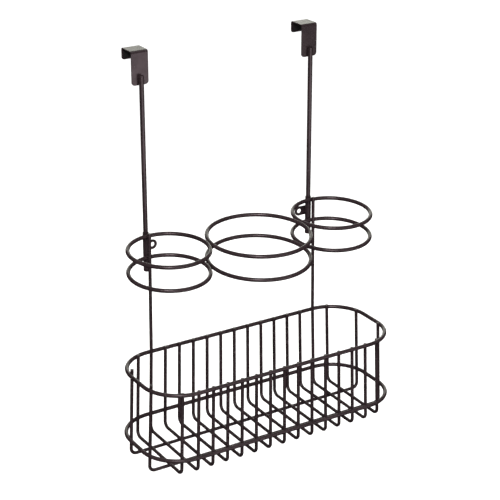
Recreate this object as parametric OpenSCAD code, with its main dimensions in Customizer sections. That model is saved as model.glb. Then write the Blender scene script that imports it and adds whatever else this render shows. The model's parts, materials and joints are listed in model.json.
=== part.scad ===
// Hair dryer holder: a welded wire rack with three ring pairs and a basket.
// It hangs from a cabinet door on two strap hooks, or is screwed to a wall by two tabs.
// Origin: midway between the two screw holes, on the wall plane (Y = 0).
// +X right, +Y into the wall, +Z up. Millimetres.

/* [Wires] */
// Diameter of the cross wires and the lengthwise floor wires
wire_d = 4; // [3.5:0.1:4.5]
// Diameter of the rings and the basket rims
ring_wire_d = 4.8; // [4.2:0.1:5.2]
// Diameter of the long rods
rod_d = 5.6; // [5:0.1:6]
// Centre-line radius where a basket wire is bent
bend_r = 7; // [6:0.5:10]

/* [Rings] */
// Distance from the middle to the centres of the side rings
side_x = 110.5; // [104:0.5:116]
// Distance from the middle to the rods
rod_x = 112; // [108:0.5:114]
// Centre-line radius of the side rings
side_ring_r = 46.5; // [42:0.5:50]
// Height of the upper rings above the screw holes
upper_ring_z = 16; // [12:0.5:18]
// Depth of the lower rings below the screw holes
lower_ring_drop = 10.5; // [10:0.5:16]
// Slope of the upper rings down to the front
upper_ring_slope = 2; // [0:0.5:3]
// Slope of the lower rings down to the front
lower_ring_slope = 3; // [0:0.5:4]

/* [Basket] */
// Number of cross wires
cross_count = 15; // [15:2:15]
// Distance between two neighbouring cross wires at the top rim
pitch = 19.05; // [18:0.05:19.2]
// Distance between them at the floor
floor_pitch = 19.6; // [19:0.05:19.8]
// Half the length of the top rim, along its centre line
rim_half_l = 162.5; // [160:0.5:170]
// Distance from the back to the front of the top rim, along its centre line
rim_depth = 121; // [110:0.5:130]
// Centre-line radius of the rim corners
rim_corner_r = 46; // [40:1:52]
// How much further out the lower rim lies at each end
flare_end = 3.5; // [2:0.5:5]
// How much further out the lower rim lies at the front
flare_front = 1; // [0:0.5:8]
// Depth of the top rim below the screw holes
top_rim_drop = 131; // [120:1:145]
// Height of the basket from the floor wires to the top rim
basket_h = 101.5; // [85:0.5:110]
// Height of the lower rim above the floor wires
lower_rim_rise = 19.5; // [14:0.5:24]
// Distance between the two lengthwise floor wires
floor_wire_gap = 46; // [36:1:60]

/* [Hooks] */
// Thickness of the door that the hooks fit
door_t = 19.5; // [16:0.5:25]
// Width of the strap
strap_w = 21; // [18:0.5:26]
// Thickness of the strap
strap_t = 1.2; // [1:0.1:2]
// Thickness of the foam pads
pad_t = 0.7; // [0.5:0.1:1]
// Height of the top of the hooks above the screw holes
hook_top_z = 232; // [200:1:260]
// Length of the front plate
plate_h = 39; // [34:1:50]
// Length of the rear lip
lip_h = 14; // [10:0.5:20]

/* [Sockets and tabs] */
// Outside diameter of the rod sockets
socket_d = 7.2; // [7.2:0.1:7.6]
// Length of the rod sockets
socket_l = 48; // [40:1:54]
// Distance between the two screw holes
screw_spacing = 203.2; // [196:0.1:206]
// Diameter of the screw holes
screw_hole_d = 5.6; // [4:0.1:7]
// Diameter of the round end of a tab
tab_d = 12; // [10:0.5:14]

/* [Hidden] */
// Facets round a wire, and along a bend of a whole turn
wire_fn = 48;
turn_fn = 144;
$fn = wire_fn;

// Welded pieces sink into each other by this much, and the flat tabs by less
weld = 0.1;
tab_weld = 0.02;
// Radial running gap between a rod and its socket
rod_gap = 0.05;
// Legs of a bent wire reach this far into the bend, and the bend is this much thicker
lap = 0.04;
bend_extra = 0.008;
// Free length of an upright above the back of the top rim and above the upper rings.
// At the front the uprights end this far below the rim's top.
wire_end = 2;

wire_r = wire_d / 2;
ring_wire_r = ring_wire_d / 2;
rod_r = rod_d / 2;
socket_r = socket_d / 2;

// Depth planes, from the wall forwards: hook plate, rod, ring backs, hangers and uprights
plate_y = -pad_t - strap_t;
rod_y = plate_y + weld - rod_r;
tab_t = -(rod_y + socket_r) + tab_weld;
ring_back_y = rod_y - socket_r + weld - ring_wire_r;
inner_offset = ring_wire_r + wire_r - weld;
upright_y = ring_back_y - inner_offset;

// The middle ring touches both side rings and the same back plane as they do
ring_touch = ring_wire_d - weld;
middle_ring_r = (side_x * side_x - 2 * ring_touch * side_ring_r - ring_touch * ring_touch)
    / (4 * side_ring_r + 2 * ring_touch);
lower_ring_z = -lower_ring_drop;
hanger_top_z = upper_ring_z + ring_wire_r + wire_end;
hanger_top_x = rod_x + 0.5;

// Heights in the basket
top_rim_z = -top_rim_drop;
floor_z = top_rim_z - basket_h;
lower_rim_z = floor_z + lower_rim_rise;
back_end_z = top_rim_z + ring_wire_r + wire_end;
front_end_z = top_rim_z + ring_wire_r - wire_end;
floor_wire_z = floor_z - wire_d + weld;

// Rims: [half length, back Y, front Y, height]
top_rim_box = [rim_half_l, ring_back_y, ring_back_y - rim_depth, top_rim_z];
lower_rim_box = [rim_half_l + flare_end, ring_back_y, ring_back_y - rim_depth - flare_front, lower_rim_z];
basket_mid_y = ring_back_y - rim_depth / 2;

// Hooks and rods
rod_top_z = hook_top_z - plate_h + 11.5;
socket_top_z = upper_ring_z + ring_wire_r;
socket_bottom_z = socket_top_z - socket_l;
socket_floor = 2;
rod_bottom_z = socket_bottom_z + socket_floor + 0.5;
lip_y = door_t + pad_t;
strap_bend_r = 2.4;
plate_corner_r = 4;
lip_corner_r = 3;

function unit(v) = v / norm(v);

// Angle between two directions
function turn_angle(a, b) = atan2(norm(cross(a, b)), a * b);

// How far before a corner its bend begins
function bend_back(a, b, r) = r * tan(turn_angle(a, b) / 2);

// How far a wire that stands inside a rim keeps from the rim's straight side, when it stands
// this far along that side past the start of the corner
function corner_inset(past) =
    rim_corner_r - sqrt(pow(rim_corner_r - inner_offset, 2) - pow(max(past, 0), 2));

// Y of a wire that stands inside a rim at x; side is 1 at the back, -1 at the front
function inside_y(box, x, side) =
    (side > 0 ? box[1] : box[2]) - side * corner_inset(abs(x) - box[0] + rim_corner_r);

// X of a wire that stands inside the right end of a rim at y
function inside_x(box, y) =
    box[0] - corner_inset(max(y - box[1], box[2] - y) + rim_corner_r);

// X of cross wire k at height z, where k counts from the middle one
function cross_x(k, z) =
    k * (pitch + (floor_pitch - pitch) * (top_rim_z - z) / basket_h);

// Point at height z on the line through a and b
function at_height(a, b, z) = a + (b - a) * (z - a[2]) / (b[2] - a[2]);

// Corners of cross wire k, from its back top end to its front top end
function cross_points(k) =
    let (
        top_x = cross_x(k, top_rim_z),
        low_x = cross_x(k, lower_rim_z),
        back_top = [top_x, inside_y(top_rim_box, top_x, 1), top_rim_z],
        back_low = [low_x, inside_y(lower_rim_box, low_x, 1), lower_rim_z],
        front_top = [top_x, inside_y(top_rim_box, top_x, -1), top_rim_z],
        front_low = [low_x, inside_y(lower_rim_box, low_x, -1), lower_rim_z]
    )
    [
        at_height(back_top, back_low, back_end_z),
        at_height(back_top, back_low, floor_z),
        at_height(front_top, front_low, floor_z),
        at_height(front_top, front_low, front_end_z)
    ];

// Corners of a lengthwise floor wire at y, from its left top end to its right top end
function floor_points(y) =
    let (
        right_top = [inside_x(top_rim_box, y), y, top_rim_z],
        right_low = [inside_x(lower_rim_box, y), y, lower_rim_z],
        end = at_height(right_top, right_low, back_end_z),
        corner = at_height(right_top, right_low, floor_wire_z)
    )
    [[-end[0], y, end[2]], [-corner[0], y, corner[2]], corner, end];

// A straight round bar from a to b
module bar(a, b, r) {
    d = b - a;
    tilt = acos(d[2] / norm(d));
    heading = atan2(d[1], d[0]);
    translate(a) rotate([0, tilt, heading]) cylinder(h = norm(d), r = r);
}

// The bend of a wire at corner p, coming in along a and leaving along b
module wire_bend(p, a, b, r, corner_r) {
    w = unit(cross(a, b));
    inward = cross(w, a);
    start = p - a * bend_back(a, b, corner_r);
    centre = start + inward * corner_r;
    u = -inward;
    multmatrix([
        [u[0], a[0], w[0], centre[0]],
        [u[1], a[1], w[1], centre[1]],
        [u[2], a[2], w[2], centre[2]],
        [0, 0, 0, 1]
    ])
        rotate_extrude(angle = turn_angle(a, b), $fn = turn_fn)
            translate([corner_r, 0]) circle(r = r, $fn = wire_fn);
}

// A round wire through a list of corners, each bent to the radius corner_r.
// The bends are a hair thicker than the legs, so that the ends of the legs lie inside them.
module bent_wire(points, r, corner_r) {
    last = len(points) - 1;
    legs = [for (i = [0 : last - 1]) unit(points[i + 1] - points[i])];
    backs = [for (i = [1 : last - 1]) bend_back(legs[i - 1], legs[i], corner_r) - lap];
    for (i = [0 : last - 1]) {
        start_cut = i == 0 ? 0 : backs[i - 1];
        end_cut = i == last - 1 ? 0 : backs[i];
        bar(points[i] + legs[i] * start_cut, points[i + 1] - legs[i] * end_cut, r);
    }
    for (i = [1 : last - 1]) wire_bend(points[i], legs[i - 1], legs[i], r + bend_extra, corner_r);
}

// A closed wire loop with round corners
module rim(box) {
    l = box[0] - rim_corner_r;
    back = box[1] - rim_corner_r;
    front = box[2] + rim_corner_r;
    translate([0, 0, box[3]]) {
        for (side = [-1, 1]) {
            bar([-l, side > 0 ? box[1] : box[2], 0], [l, side > 0 ? box[1] : box[2], 0], ring_wire_r);
            bar([side * box[0], front, 0], [side * box[0], back, 0], ring_wire_r);
        }
        for (corner = [[l, back, 0], [-l, back, 90], [-l, front, 180], [l, front, 270]])
            translate([corner[0], corner[1], 0]) rotate([0, 0, corner[2]])
                rotate_extrude(angle = 90, $fn = turn_fn)
                    translate([rim_corner_r, 0]) circle(r = ring_wire_r, $fn = wire_fn);
    }
}

// A ring whose back touches the common back plane, sloping down to the front
module ring(x, r, z, slope) {
    color(bronze)
        translate([x, ring_back_y, z]) rotate([slope, 0, 0]) translate([0, -r, 0])
            rotate_extrude($fn = turn_fn)
                translate([r, 0]) circle(r = ring_wire_r, $fn = wire_fn);
}

module upper_ring(x, r) {
    ring(x, r, upper_ring_z, upper_ring_slope);
}

module lower_ring(x, r) {
    ring(x, r, lower_ring_z, lower_ring_slope);
}

bronze = "#4a3f40";
foam = "#191818";

// Cross wires 1 to 15 from left to right, without the two hangers
module cross_wire(n) {
    color(bronze) bent_wire(cross_points(n - (cross_count + 1) / 2), wire_r, bend_r);
}

// A cross wire whose back upright goes on up, through the inside of the side rings
module hanger_wire(side) {
    u = cross_points(side * (cross_count - 3) / 2);
    top = [side * hanger_top_x, upright_y, hanger_top_z];
    color(bronze) bent_wire(concat([top], u), wire_r, bend_r);
}

module long_wire(side) {
    color(bronze) bent_wire(floor_points(basket_mid_y + side * floor_wire_gap / 2), wire_r, bend_r);
}

module socket(side) {
    color(bronze)
        translate([side * rod_x, rod_y, socket_bottom_z])
            rotate_extrude($fn = turn_fn)
                difference() {
                    union() {
                        translate([0, 1]) square([socket_r, socket_l - 1]);
                        square([socket_r - 1, socket_l]);
                        translate([socket_r - 1, 1]) circle(r = 1);
                    }
                    translate([0, socket_floor]) square([rod_r + rod_gap, socket_l]);
                    translate([-2 * socket_r, -1]) square([2 * socket_r, socket_l + 2]);
                }
}

// Flat eyelet behind the socket, pointing inwards
module wall_tab(side) {
    hole_x = side * screw_spacing / 2;
    root_x = side * (rod_x + 1.5);
    neck_h = tab_d - 0.6;
    color(bronze)
        rotate([90, 0, 0])
            difference() {
                linear_extrude(tab_t) {
                    translate([hole_x, 0]) circle(d = tab_d, $fn = turn_fn);
                    translate([min(hole_x, root_x), -neck_h / 2]) square([abs(root_x - hole_x), neck_h]);
                }
                translate([hole_x, 0, -1]) cylinder(h = tab_t + 2, d = screw_hole_d, $fn = turn_fn);
            }
}

module rod(side) {
    color(bronze)
        translate([side * rod_x, rod_y, 0])
            bar([0, 0, rod_bottom_z], [0, 0, rod_top_z], rod_r);
}

// Upright strip with two round corners at its lower end, hanging down from height z
module strip(w, h, corner_r) {
    translate([-w / 2, -h + corner_r]) square([w, h - corner_r]);
    translate([-w / 2 + corner_r, -h]) square([w - 2 * corner_r, h]);
    for (side = [-1, 1]) translate([side * (w / 2 - corner_r), -h + corner_r]) circle(r = corner_r);
}

// A quarter bend of the strap about the X axis
module strap_bend(start) {
    rotate([0, 90, 0]) rotate([0, 0, start])
        rotate_extrude(angle = 90, $fn = turn_fn)
            translate([strap_bend_r - strap_t, -strap_w / 2]) square([strap_t, strap_w]);
}

module hook(side) {
    bend_z = hook_top_z - strap_bend_r;
    color(bronze) translate([side * rod_x, 0, 0]) {
        translate([0, plate_y + strap_t, bend_z]) rotate([90, 0, 0])
            linear_extrude(strap_t) strip(strap_w, plate_h - strap_bend_r, plate_corner_r);
        translate([0, lip_y + strap_t, bend_z]) rotate([90, 0, 0])
            linear_extrude(strap_t) strip(strap_w, lip_h - strap_bend_r, lip_corner_r);
        translate([-strap_w / 2, plate_y + strap_bend_r, hook_top_z - strap_t])
            cube([strap_w, lip_y + strap_t - plate_y - 2 * strap_bend_r, strap_t]);
        translate([0, plate_y + strap_bend_r, bend_z]) strap_bend(180);
        translate([0, lip_y + strap_t - strap_bend_r, bend_z]) strap_bend(90);
    }
}

pad_margin = 1.5;

// Foam on the inner face of the front plate
module front_pad(side) {
    color(foam)
        translate([side * rod_x, 0, hook_top_z - strap_bend_r]) rotate([90, 0, 0])
            linear_extrude(pad_t)
                strip(strap_w - 2 * pad_margin, plate_h - strap_bend_r - pad_margin, plate_corner_r - 1);
}

// Foam on the inner face of the rear lip
module rear_pad(side) {
    color(foam)
        translate([side * rod_x, lip_y, hook_top_z - strap_bend_r]) rotate([90, 0, 0])
            linear_extrude(pad_t)
                strip(strap_w - 2 * pad_margin, lip_h - strap_bend_r - pad_margin, lip_corner_r - 1);
}

color(bronze) rim(top_rim_box);  // top_rim
color(bronze) rim(lower_rim_box);  // lower_rim
cross_wire(1);  // cross_wire_01
hanger_wire(-1);  // hanger_wire_left
cross_wire(3);  // cross_wire_03
cross_wire(4);  // cross_wire_04
cross_wire(5);  // cross_wire_05
cross_wire(6);  // cross_wire_06
cross_wire(7);  // cross_wire_07
cross_wire(8);  // cross_wire_08
cross_wire(9);  // cross_wire_09
cross_wire(10);  // cross_wire_10
cross_wire(11);  // cross_wire_11
cross_wire(12);  // cross_wire_12
cross_wire(13);  // cross_wire_13
hanger_wire(1);  // hanger_wire_right
cross_wire(15);  // cross_wire_15
long_wire(1);  // floor_wire_rear
long_wire(-1);  // floor_wire_front
upper_ring(-side_x, side_ring_r);  // ring_left_upper
lower_ring(-side_x, side_ring_r);  // ring_left_lower
upper_ring(0, middle_ring_r);  // ring_middle_upper
lower_ring(0, middle_ring_r);  // ring_middle_lower
upper_ring(side_x, side_ring_r);  // ring_right_upper
lower_ring(side_x, side_ring_r);  // ring_right_lower
socket(-1);  // socket_left
socket(1);  // socket_right
wall_tab(-1);  // wall_tab_left
wall_tab(1);  // wall_tab_right
hook(-1);  // hook_strap_left
hook(1);  // hook_strap_right
rod(-1);  // rod_left
rod(1);  // rod_right
front_pad(-1);  // front_pad_left
front_pad(1);  // front_pad_right
rear_pad(-1);  // rear_pad_left
rear_pad(1);  // rear_pad_right
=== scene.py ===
"""Looks for the hair dryer holder: bronze powder coat, resistance welds, foam pads and a pale studio."""

import json
import math

import bmesh
import bpy
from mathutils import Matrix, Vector, geometry, noise
from mathutils.bvhtree import BVHTree


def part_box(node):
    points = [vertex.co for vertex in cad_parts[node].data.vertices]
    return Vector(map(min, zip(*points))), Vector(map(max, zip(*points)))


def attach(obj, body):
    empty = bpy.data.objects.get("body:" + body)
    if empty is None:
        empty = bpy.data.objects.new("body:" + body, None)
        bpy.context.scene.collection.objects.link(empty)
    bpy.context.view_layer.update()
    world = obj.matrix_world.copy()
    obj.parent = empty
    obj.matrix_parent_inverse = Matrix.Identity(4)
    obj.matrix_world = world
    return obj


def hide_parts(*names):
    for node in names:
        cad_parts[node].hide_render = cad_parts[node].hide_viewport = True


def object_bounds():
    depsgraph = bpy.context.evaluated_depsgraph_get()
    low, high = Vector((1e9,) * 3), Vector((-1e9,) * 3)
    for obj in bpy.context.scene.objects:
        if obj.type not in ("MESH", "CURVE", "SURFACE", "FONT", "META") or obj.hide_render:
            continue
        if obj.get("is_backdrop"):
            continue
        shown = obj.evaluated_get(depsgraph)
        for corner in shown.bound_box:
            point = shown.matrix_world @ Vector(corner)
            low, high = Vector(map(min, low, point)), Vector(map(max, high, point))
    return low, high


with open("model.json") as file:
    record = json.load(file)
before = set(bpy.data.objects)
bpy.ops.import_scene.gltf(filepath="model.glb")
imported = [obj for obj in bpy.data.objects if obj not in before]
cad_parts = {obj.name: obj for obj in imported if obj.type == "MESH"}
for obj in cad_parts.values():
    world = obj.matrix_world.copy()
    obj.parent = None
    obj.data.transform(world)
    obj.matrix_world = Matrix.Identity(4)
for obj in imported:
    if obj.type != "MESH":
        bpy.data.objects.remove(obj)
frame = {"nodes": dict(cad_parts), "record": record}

cad_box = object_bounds()
MM = 0.001


# Camera: it looks at the middle of the part's height from the left, the front and above.

CAMERA_AZIMUTH = -31.76
CAMERA_ELEVATION = 22.55
CAMERA_DISTANCE = 1.8205
CAMERA_AIM = Vector((0.0003, -0.0507, -0.0118))
CAMERA_LENS = 112.4


def direction(azimuth, elevation):
    """Unit vector from the part towards a place round it; azimuth 0 is the front, and 90 the right."""
    a, e = math.radians(azimuth), math.radians(elevation)
    return Vector((math.sin(a) * math.cos(e), -math.cos(a) * math.cos(e), math.sin(e)))


def add_camera():
    back = direction(CAMERA_AZIMUTH, CAMERA_ELEVATION)
    data = bpy.data.cameras.new("camera")
    data.lens = CAMERA_LENS
    data.sensor_width = 36
    data.clip_end = 50
    camera = bpy.data.objects.new("camera", data)
    camera.location = CAMERA_AIM + back * CAMERA_DISTANCE
    camera.rotation_euler = back.to_track_quat("Z", "Y").to_euler()
    bpy.context.collection.objects.link(camera)
    bpy.context.scene.camera = camera


# Materials


class Nodes:
    """Short calls for building one material's node tree."""

    def __init__(self, name):
        self.material = bpy.data.materials.new(name)
        self.material.use_nodes = True
        self.tree = self.material.node_tree
        self.shader = self.tree.nodes["Principled BSDF"]

    def add(self, kind, **inputs):
        """A new node; an underscore in an input's name stands for a space."""
        node = self.tree.nodes.new(kind)
        for key, value in inputs.items():
            self.put(value, node.inputs[key.replace("_", " ")])
        return node

    def put(self, value, socket):
        """Links a value that comes from another node, or sets a plain one."""
        if isinstance(value, bpy.types.NodeSocket):
            self.tree.links.new(value, socket)
        else:
            socket.default_value = value

    def surface(self, **inputs):
        """Inputs of the surface's own shader."""
        for key, value in inputs.items():
            self.put(value, self.shader.inputs[key.replace("_", " ")])

    def place(self):
        return self.tree.nodes.new("ShaderNodeTexCoord").outputs["Object"]

    def grain(self, size_mm, detail):
        """Noise whose lumps are about size_mm across."""
        node = self.add("ShaderNodeTexNoise", Vector=self.place(), Scale=1 / (size_mm * MM), Detail=detail)
        return node.outputs["Fac"]

    def cells(self, size_mm, output):
        """Cells about size_mm across: their Color, or the Distance from their middles."""
        node = self.add("ShaderNodeTexVoronoi", Vector=self.place(), Scale=1 / (size_mm * MM))
        return node.outputs[output]

    def spread(self, value, low, high, to_low=0.0, to_high=1.0):
        """A number that goes from to_low to to_high as value goes from low to high."""
        ends = {"From_Min": low, "From_Max": high, "To_Min": to_low, "To_Max": to_high}
        return self.add("ShaderNodeMapRange", Value=value, **ends).outputs["Result"]

    def ramp(self, value, low, high, stops):
        """Colours over the part of value from low to high."""
        node = self.add("ShaderNodeValToRGB", Fac=self.spread(value, low, high))
        node.color_ramp.elements[0].color = (*stops[0], 1)
        node.color_ramp.elements[1].color = (*stops[-1], 1)
        for number, stop in enumerate(stops[1:-1], 1):
            node.color_ramp.elements.new(number / (len(stops) - 1)).color = (*stop, 1)
        return node.outputs["Color"]

    def mix(self, amount, a, b):
        """Colour a with so much of colour b in it."""
        node = self.tree.nodes.new("ShaderNodeMix")
        node.data_type = "RGBA"
        factor, first, second = node.inputs[0], node.inputs[6], node.inputs[7]
        for value, socket in ((amount, factor), (a, first), (b, second)):
            self.put(value, socket)
        return node.outputs[2]

    def bump(self, height, depth_mm, **below):
        """A bump so deep; below may give Normal, the bump that it lies on."""
        node = self.add("ShaderNodeBump", Height=height, Distance=depth_mm * MM, Strength=1, **below)
        return node.outputs["Normal"]


# The coat: the size across of each thing that shows in it, and the depth of what stands proud.
BRONZE = (0.021, 0.0145, 0.016)
CLOUD_MM = 26
CLOUD_TONES = (0.75, 1, 1.3)
FLAKE_MM = 0.16
FLAKE_TONE = 3
PATCH_MM = 7
PATCH_ROUGHNESS = (0.21, 0.29)
PEEL_MM, PEEL_DEPTH_MM = 1.2, 0.018
GRIT_MM, GRIT_DEPTH_MM = 0.3, 0.003


def powder_coat(name):
    """Dark bronze powder coat: faint clouds, fine flake, patches of more and less gloss, and orange peel."""
    n = Nodes(name)
    tones = [tuple(c * tone for c in BRONZE) for tone in CLOUD_TONES]
    clouds = n.ramp(n.grain(CLOUD_MM, 3), 0.32, 0.68, tones)
    flakes = n.spread(n.cells(FLAKE_MM, "Color"), 0.72, 1.0, 0.0, 0.35)
    peel = n.bump(n.grain(PEEL_MM, 1.5), PEEL_DEPTH_MM)
    n.surface(
        Base_Color=n.mix(flakes, clouds, (*[c * FLAKE_TONE for c in BRONZE], 1)),
        Roughness=n.spread(n.grain(PATCH_MM, 3), 0.3, 0.7, *PATCH_ROUGHNESS),
        Normal=n.bump(n.grain(GRIT_MM, 1), GRIT_DEPTH_MM, Normal=peel),
        Metallic=0.0,
        Specular_IOR_Level=0.5,
    )
    return n.material


def foam(name):
    """Black foam with fine cells, whose hollows are painted darker as painted shade."""
    n = Nodes(name)
    cells = n.cells(0.35, "Distance")
    n.surface(
        # The same cells give the bump and the colour: their sunken middles are painted darker, as painted
        # shade in the pores.
        Base_Color=n.ramp(cells, 0.0, 0.9, ((0.004, 0.004, 0.004), (0.014, 0.014, 0.014))),
        Normal=n.bump(cells, 0.08),
        Roughness=0.9,
        Specular_IOR_Level=0.25,
    )
    return n.material


def matt_floor(name):
    """Pale matt paper with a very faint unevenness."""
    n = Nodes(name)
    light, shade = 0.93, 0.93 * 0.985
    n.surface(
        Base_Color=n.ramp(n.grain(400, 2), 0.3, 0.7, ((light,) * 3, (shade,) * 3)),
        Roughness=0.7,
        Specular_IOR_Level=0.15,
    )
    return n.material


WIRE_COAT = powder_coat("bronze_wire_coat")
FLAT_COAT = powder_coat("bronze_flat_coat")
FOAM = foam("black_foam")
MATERIALS = {"bronze_wire": WIRE_COAT, "bronze_flat": FLAT_COAT, "foam_pad": FOAM}


def paint_frame():
    slots = {part["node"]: part["material_slot"] for part in frame["record"]["subparts"]}
    for name, node in frame["nodes"].items():
        node.data.materials.clear()
        node.data.materials.append(MATERIALS[slots[name]])


def new_piece(name, bm, material, body):
    """A smooth-shaded object made of a finished bmesh, riding on a body."""
    bmesh.ops.recalc_face_normals(bm, faces=bm.faces)
    mesh = bpy.data.meshes.new(name)
    bm.to_mesh(mesh)
    bm.free()
    mesh.shade_smooth()
    mesh.materials.append(material)
    piece = bpy.data.objects.new(name, mesh)
    bpy.context.collection.objects.link(piece)
    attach(piece, body)
    return piece


# Welds: wherever two nodes touch, a bead of squeezed-out metal fills the crevice round the contact.

WELD_REACH = 2.6 * MM  # how far from the middle of the contact a bead may spread
TAB_REACH = 5.2 * MM
HOOK_REACH = 6 * MM
SAME_WELD = 3  # points of contact within this many reaches of each other are one weld
BEAD_SIDES = 20
BEAD_ROWS = 4
BEAD_STEPS = 24  # how finely the reach is searched for the bead's edge
BEAD_GAP = 0.75 * MM  # how wide a crevice the metal fills
GAP_VARIES = 0.35
LUMPS_PER_M = 900
BEAD_SUNK = 0.12 * MM  # how far a bead goes into each surface
BEAD_LAP = 0.02 * MM
BEAD_WAIST = 0.55  # how far the bead's side pulls in, as a part of its height
BEAD_CORE = 0.8  # where its sunk rim lies, as a part of its radius
PROBE = 4 * MM


def arch(t):
    """0 at both ends of a stretch and 1 in its middle."""
    return 4 * t * (1 - t)


def triangles(node):
    """The corners of each of a node's triangles."""
    mesh = node.data
    mesh.calc_loop_triangles()
    return [[mesh.vertices[v].co.copy() for v in t.vertices] for t in mesh.loop_triangles]


def tree_of(node_faces):
    corners = [corner for face in node_faces for corner in face]
    return BVHTree.FromPolygons(corners, [(k, k + 1, k + 2) for k in range(0, len(corners), 3)])


faces = {name: triangles(node) for name, node in frame["nodes"].items()}
trees = {name: tree_of(node_faces) for name, node_faces in faces.items()}


def near(a, b):
    """Whether the boxes of two nodes come near each other."""
    (low_a, high_a), (low_b, high_b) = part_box(a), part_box(b)
    return all(low_a[i] - MM < high_b[i] and low_b[i] - MM < high_a[i] for i in range(3))


def crossings(face_a, face_b):
    """Where the edges of one triangle pass through another."""
    for k in range(3):
        start, end = face_a[k], face_a[(k + 1) % 3]
        hit = geometry.intersect_ray_tri(*face_b, end - start, start, True)
        if hit is not None and (hit - start).length <= (end - start).length:
            yield hit


def touches(a, b):
    """(place, direction from a to b) of each point where the edges of two nodes' faces cross.

    Surfaces that only graze have no such point, and give the middles of their small faces instead.
    """
    crossed = []
    grazed = []
    for i, j in trees[a].overlap(trees[b]):
        face_a, face_b = faces[a][i], faces[b][j]
        across = geometry.normal(face_a) - geometry.normal(face_b)
        crossed += [(place, across) for place in (*crossings(face_a, face_b), *crossings(face_b, face_a))]
        grazed.append((sum((*face_a, *face_b), Vector()) / 6, across))
    return crossed or grazed


def contacts(a, b, neighbour):
    """(middle, direction from a to b) of each place where two nodes touch."""
    groups = []
    for place, across in touches(a, b):
        group = next((g for g in groups if (g["places"][0] - place).length < neighbour), None)
        if group is None:
            group = {"places": [], "across": Vector()}
            groups.append(group)
        group["places"].append(place)
        group["across"] += across
    for group in groups:
        low = [min(p[k] for p in group["places"]) for k in range(3)]
        high = [max(p[k] for p in group["places"]) for k in range(3)]
        yield Vector([(p + q) / 2 for p, q in zip(low, high)]), group["across"].normalized()


def height_of(tree, start, along):
    """How far from start, measured along a direction, a tree's outer surface lies."""
    hit = tree.ray_cast(start + along * PROBE, -along, 2 * PROBE)[0]
    return None if hit is None else (hit - start).dot(along)


def bead_edge(tree_a, tree_b, middle, across, outward, reach, gap):
    """Where a bead ends in one direction: (distance, height on a, height on b)."""
    edge = None
    for step in range(2, BEAD_STEPS + 1):
        distance = reach * step / BEAD_STEPS
        place = middle + outward * distance
        on_a = height_of(tree_a, place, across)
        on_b = height_of(tree_b, place, -across)
        if on_a is None or on_b is None or -on_b - on_a > gap:
            break
        edge = (distance, on_a, -on_b)
    return edge


def bead_profile(middle, across, outward, edge):
    """Points down one side of a bead, from inside one surface to inside the other."""
    distance, on_a, on_b = edge
    opening = max(on_b - on_a, BEAD_LAP)
    points = [middle + outward * distance * BEAD_CORE + across * (on_a - BEAD_SUNK)]
    for step in range(BEAD_ROWS + 1):
        t = step / BEAD_ROWS
        waist = distance - opening * BEAD_WAIST * arch(t)
        points.append(middle + outward * waist + across * (on_a - BEAD_LAP + (opening + 2 * BEAD_LAP) * t))
    points.append(middle + outward * distance * BEAD_CORE + across * (on_b + BEAD_SUNK))
    return points


def add_bead(bm, tree_a, tree_b, middle, across, reach):
    """A closed, slightly lumpy ring of metal in the crevice between two touching surfaces."""
    side = across.orthogonal().normalized()
    other = across.cross(side)
    profiles = []
    for k in range(BEAD_SIDES):
        turn = 2 * math.pi * k / BEAD_SIDES
        outward = side * math.cos(turn) + other * math.sin(turn)
        lump = noise.noise((middle + outward * 2 * MM) * LUMPS_PER_M)
        edge = bead_edge(tree_a, tree_b, middle, across, outward, reach, BEAD_GAP * (1 + GAP_VARIES * lump))
        if edge is None:
            return
        profiles.append(bead_profile(middle, across, outward, edge))
    rows = [[bm.verts.new(point) for point in profile] for profile in profiles]
    for row, following in zip(rows, rows[1:] + rows[:1]):
        for i in range(len(row) - 1):
            bm.faces.new((row[i], following[i], following[i + 1], row[i + 1]))
    bm.faces.new([row[0] for row in reversed(rows)])
    bm.faces.new([row[-1] for row in rows])


def add_welds(name, body, firsts, seconds, reach=WELD_REACH):
    """One piece with the beads between two groups of nodes."""
    bm = bmesh.new()
    for a in firsts:
        for b in seconds:
            if near(a, b):
                for middle, across in contacts(a, b, SAME_WELD * reach):
                    add_bead(bm, trees[a], trees[b], middle, across, reach)
    new_piece(name, bm, WIRE_COAT, body)


# Foam pads: die-cut pieces glued inside the hooks, crowned towards the door.

PAD_CORNER = 2.2 * MM
PAD_PULL = 0.25 * MM  # how far the middle of a side pulls in
PAD_CORNER_STEPS = 8
PAD_SIDE_STEPS = 10
# Rows of a pad: how large the outline is, and how far it stands from the steel, in thicknesses.
PAD_FOOT = ((1.0, 0.0), (0.985, 0.3), (0.985, 0.5), (0.99, 0.66))
PAD_CROWN = ((0.97, 0.8), (0.93, 0.88), (0.8, 0.95), (0.5, 0.99))


def pad_outline(half_x, half_z):
    """Points round a rectangle with round corners, whose sides pull in a little between them."""
    points = []
    for quarter, (sx, sz) in enumerate(((1, 1), (-1, 1), (-1, -1), (1, -1))):
        centre = (sx * (half_x - PAD_CORNER), sz * (half_z - PAD_CORNER))
        for step in range(PAD_CORNER_STEPS + 1):
            turn = math.pi / 2 * (quarter + step / PAD_CORNER_STEPS)
            points.append((centre[0] + PAD_CORNER * math.cos(turn), centre[1] + PAD_CORNER * math.sin(turn)))
        start_x, start_z = points[-1]
        along_x = quarter % 2 == 0
        length = 2 * ((half_x if along_x else half_z) - PAD_CORNER)
        for step in range(1, PAD_SIDE_STEPS):
            t = step / PAD_SIDE_STEPS
            pull = PAD_PULL * arch(t)
            if along_x:
                points.append((start_x - sx * length * t, start_z - sz * pull))
            else:
                points.append((start_x - sx * pull, start_z - sz * length * t))
    return points


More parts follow.
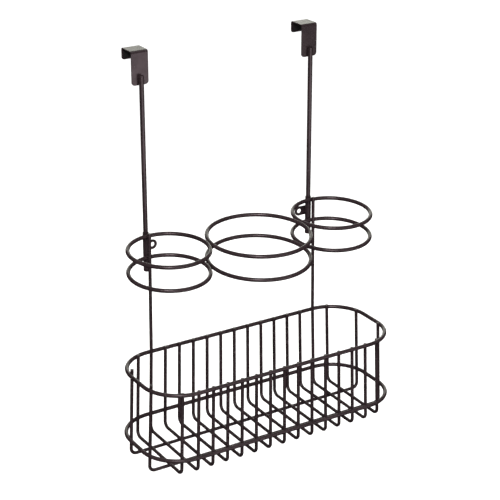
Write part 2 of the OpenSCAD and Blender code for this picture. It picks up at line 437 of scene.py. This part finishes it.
def add_pad(name, node, body, facing):
    """A foam pad in the place of its CAD node; facing is +1 where it looks along +Y, and -1 along -Y."""
    low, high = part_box(node)
    glued = low[1] if facing > 0 else high[1]
    thickness = high[1] - low[1]
    middle_x, middle_z = (low[0] + high[0]) / 2, (low[2] + high[2]) / 2
    outline = pad_outline((high[0] - low[0]) / 2, (high[2] - low[2]) / 2)
    bm = bmesh.new()
    rows = []
    for size, part in PAD_FOOT + PAD_CROWN:
        y = glued + facing * thickness * part
        rows.append([bm.verts.new((middle_x + x * size, y, middle_z + z * size)) for x, z in outline])
    count = len(outline)
    for row, following in zip(rows, rows[1:]):
        for i in range(count):
            j = (i + 1) % count
            bm.faces.new((row[i], row[j], following[j], following[i]))
    crown = bm.verts.new((middle_x, glued + facing * thickness, middle_z))
    for i in range(count):
        bm.faces.new((rows[-1][i], rows[-1][(i + 1) % count], crown))
    bm.faces.new(rows[0][::-1])
    piece = new_piece(name, bm, FOAM, body)
    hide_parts(node)


# Studio

FLOOR_DROP = 0.4  # the rack hangs, so the floor lies this far below it
FLOOR_HALF = 12


def add_floor():
    z = cad_box[0][2] - FLOOR_DROP
    corners = [(x * FLOOR_HALF, y * FLOOR_HALF, z) for x, y in ((-1, -1), (1, -1), (1, 1), (-1, 1))]
    mesh = bpy.data.meshes.new("floor")
    mesh.from_pydata(corners, [], [(0, 1, 2, 3)])
    mesh.materials.append(matt_floor("pale_floor"))
    floor = bpy.data.objects.new("floor", mesh)
    bpy.context.collection.objects.link(floor)
    floor.visible_glossy = False
    floor.visible_diffuse = False
    floor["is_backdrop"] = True


def add_light(name, azimuth, elevation, distance, aim, size, radiance, colour, spread=180):
    """A soft box of a width and height, seen from aim at these angles; it shows only in what it lights."""
    towards = direction(azimuth, elevation) * distance
    data = bpy.data.lights.new(name, "AREA")
    data.shape = "RECTANGLE"
    data.size, data.size_y = size
    data.energy = radiance * math.pi * size[0] * size[1]
    data.color = colour
    data.spread = math.radians(spread)
    light = bpy.data.objects.new(name, data)
    light.location = aim + towards
    light.rotation_euler = towards.to_track_quat("Z", "Y").to_euler()
    light.visible_camera = False
    bpy.context.collection.objects.link(light)


def add_surroundings():
    """A white room, dimmer below the horizon, that lights the scene without showing in the gloss."""
    world = bpy.data.worlds.new("studio")
    world.use_nodes = True
    tree = world.node_tree
    room = tree.nodes["Background"]
    room.inputs["Strength"].default_value = 1.3
    place = tree.nodes.new("ShaderNodeTexCoord")
    split = tree.nodes.new("ShaderNodeSeparateXYZ")
    fade = tree.nodes.new("ShaderNodeMapRange")
    for socket, value in (("From Min", -0.25), ("From Max", 0.0), ("To Min", 0.3), ("To Max", 1.0)):
        fade.inputs[socket].default_value = value
    tree.links.new(place.outputs["Generated"], split.inputs["Vector"])
    tree.links.new(split.outputs["Z"], fade.inputs["Value"])
    tree.links.new(fade.outputs["Result"], room.inputs["Color"])
    bpy.context.scene.world = world
    world.cycles_visibility.glossy = False
    bpy.context.scene.view_settings.view_transform = "Standard"


def add_lights():
    """Four soft boxes: for the tops of the rings, for the ring ends, for the rods, and one above."""
    middle = Vector((0, -0.05, 0))
    upper = Vector((0, -0.05, 0.15))
    add_light("front_softbox", -32, 36, 2.3, upper, (0.9, 0.6), 2.2, (1.0, 0.82, 0.86), 60)
    add_light("back_card", 148, 12, 2.0, middle, (2.2, 0.9), 1.9, (0.98, 1.0, 0.9))
    add_light("low_card", -2, -13, 1.25, middle, (1.9, 0.3), 2.7, (1.0, 0.83, 0.89))
    add_light("top_softbox", 60, 70, 2.2, middle, (1.2, 1.0), 0.8, (1.0, 1.0, 1.0))


def named(*starts):
    return [name for name in sorted(frame["nodes"]) if name.startswith(starts)]


add_camera()
paint_frame()

rims = named("lower_rim", "top_rim")
floor_wires = named("floor_wire")
uprights = named("cross_wire", "hanger_wire")
rings = named("ring")
sockets = named("socket")
add_welds("rim_welds", "rack", rims, uprights + floor_wires)
add_welds("floor_welds", "rack", floor_wires, uprights)
add_welds("ring_welds", "rack", named("ring_left", "ring_right"), named("ring_middle"))
add_welds("hanger_welds", "rack", rings, named("hanger_wire"))
add_welds("socket_welds", "rack", sockets, rings)
add_welds("tab_welds", "rack", named("wall_tab"), sockets, TAB_REACH)
for side in ("left", "right"):
    hook = "hook_" + side
    add_welds("hook_weld_" + side, hook, ["hook_strap_" + side], ["rod_" + side], HOOK_REACH)
    add_pad("front_foam_" + side, "front_pad_" + side, hook, 1)
    add_pad("rear_foam_" + side, "rear_pad_" + side, hook, -1)
add_floor()
add_surroundings()
add_lights()

boxes = {"cad": cad_box, "visual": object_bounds()}
{k: [list(map(float, corner)) for corner in v] for k, v in boxes.items()}
